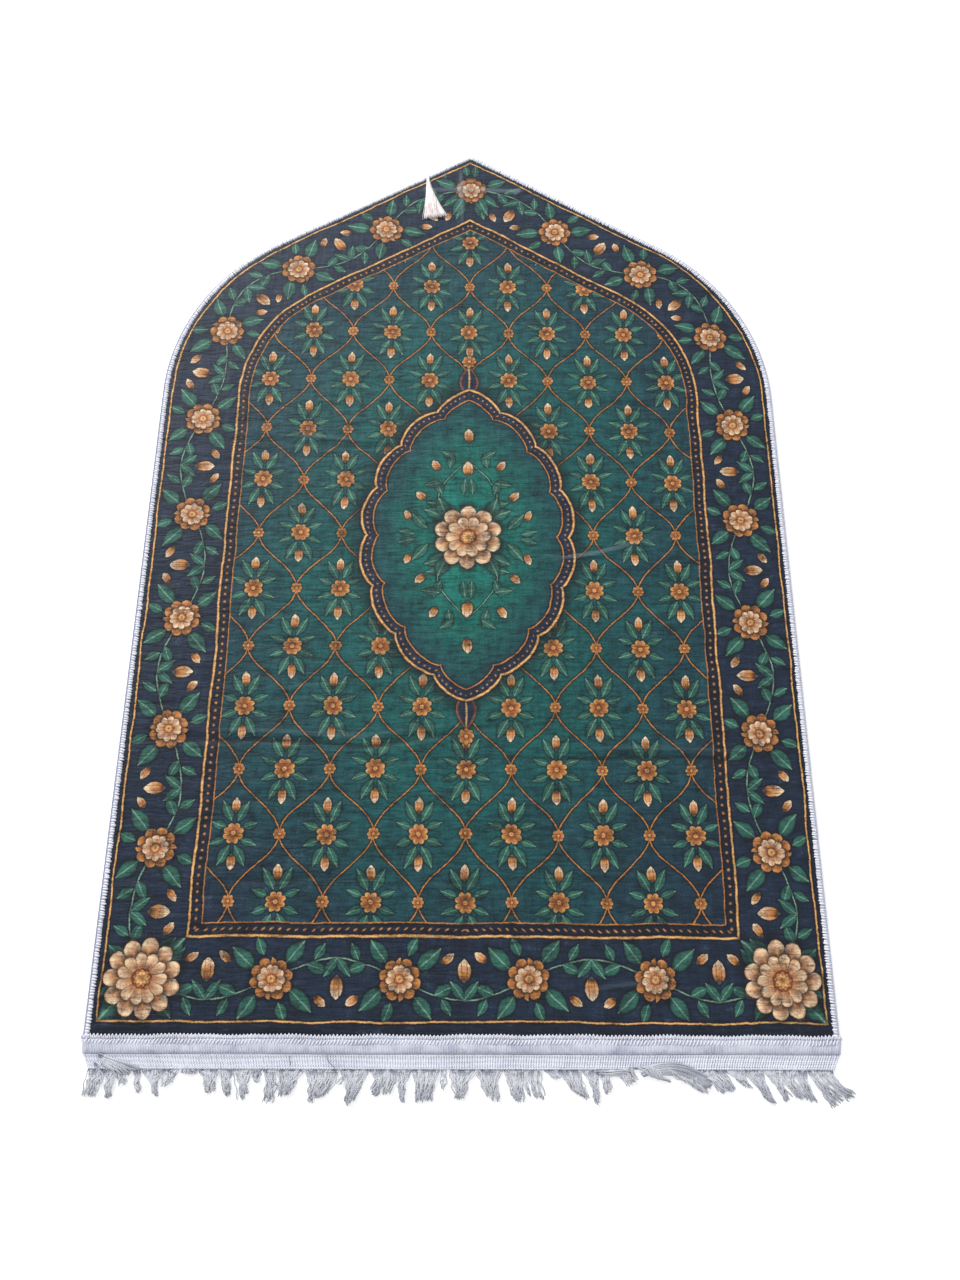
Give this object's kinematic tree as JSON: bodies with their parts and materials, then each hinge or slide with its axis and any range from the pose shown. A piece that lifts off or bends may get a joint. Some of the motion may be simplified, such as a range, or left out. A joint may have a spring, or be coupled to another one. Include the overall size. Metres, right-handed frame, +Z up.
{
  "type": "prayer rug",
  "caption": "Flat arched prayer rug of velvet-faced cloth with an overlocked edge, a folded hem tape, a cotton fringe and a silky tassel.",
  "frame": {"origin": "on the underside of the cloth, on its middle line, half way between the hem tape's fold and the apex", "axes": "+X to the right, +Y towards the apex, +Z up off the floor that the rug lies on"},
  "size_m": [0.8098, 1.2449, 0.0072],
  "materials": {
    "velvet": "short cut pile with a printed pattern in dark green, navy, gold and peach, soft sheen",
    "edging_yarn": "white overlock yarn in close ribs",
    "hem_tape": "white woven tape, sewn with two rows of stitches",
    "fringe_cotton": "white cotton heading and loose cut yarns",
    "tassel_silk": "white silky strands"
  },
  "bodies": {
    "root": {"rug_body": "velvet", "edge_binding": "edging_yarn", "hem_band": "hem_tape", "fringe": "fringe_cotton", "tassel": "tassel_silk"}
  },
  "joints": []
}
